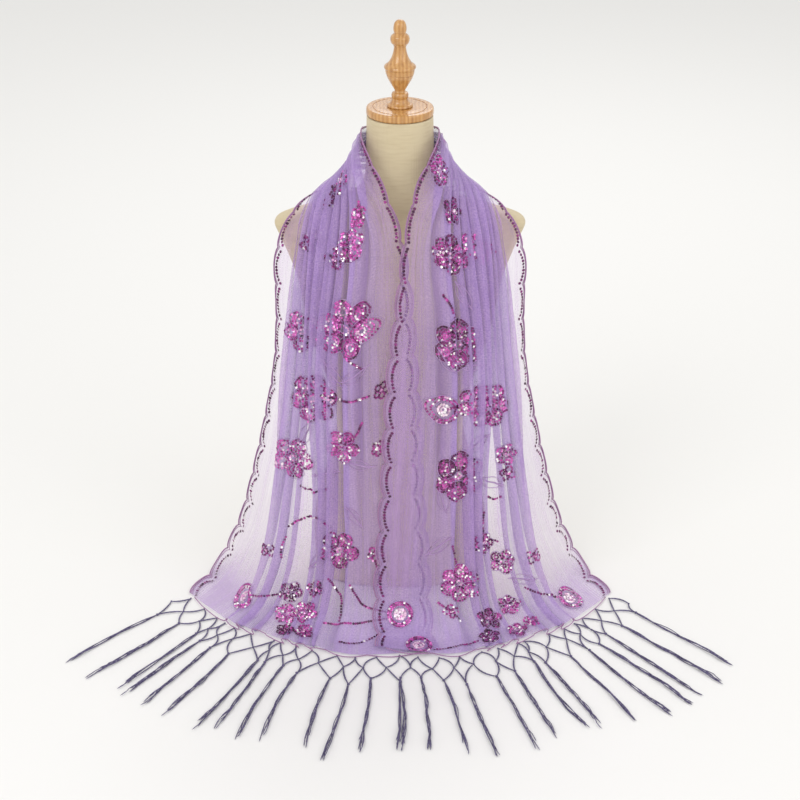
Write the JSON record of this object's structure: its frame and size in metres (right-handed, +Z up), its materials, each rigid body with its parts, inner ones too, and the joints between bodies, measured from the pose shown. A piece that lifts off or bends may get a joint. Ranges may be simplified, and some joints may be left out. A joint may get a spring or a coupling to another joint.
{
  "type": "evening stole on a dress form",
  "caption": "Sheer net stole with scalloped edges, sequin flowers and knotted fringe, worn round the neck of a limbless dress form with a turned wood neck cap.",
  "frame": {"origin": "middle of the dress form's flat base, under its neck, on the surface that it stands on", "axes": "+Z up, the form and the stole's two ends face -Y, +X to the right of someone looking at the front"},
  "size_m": [0.9904, 0.5946, 0.9262],
  "materials": {
    "net": "sheer lavender net with sewn sequin flowers",
    "scalloped_edging": "corded scallops with a row of dark sequins",
    "fringe": "twisted slate violet yarn, knotted",
    "form_cover": "plain cream linen, drawn smooth",
    "turned_wood": "turned and varnished golden wood"
  },
  "bodies": {
    "root": {"form_torso": "form_cover", "form_neck_cap": "turned_wood", "form_finial": "turned_wood", "stole_back_neck": "net", "stole_front_left": "net", "edging_neck_left": "scalloped_edging", "edging_outer_left": "scalloped_edging", "edging_hem_left": "scalloped_edging", "fringe_left": "fringe", "stole_front_right": "net", "edging_neck_right": "scalloped_edging", "edging_outer_right": "scalloped_edging", "edging_hem_right": "scalloped_edging", "fringe_right": "fringe"}
  },
  "joints": []
}
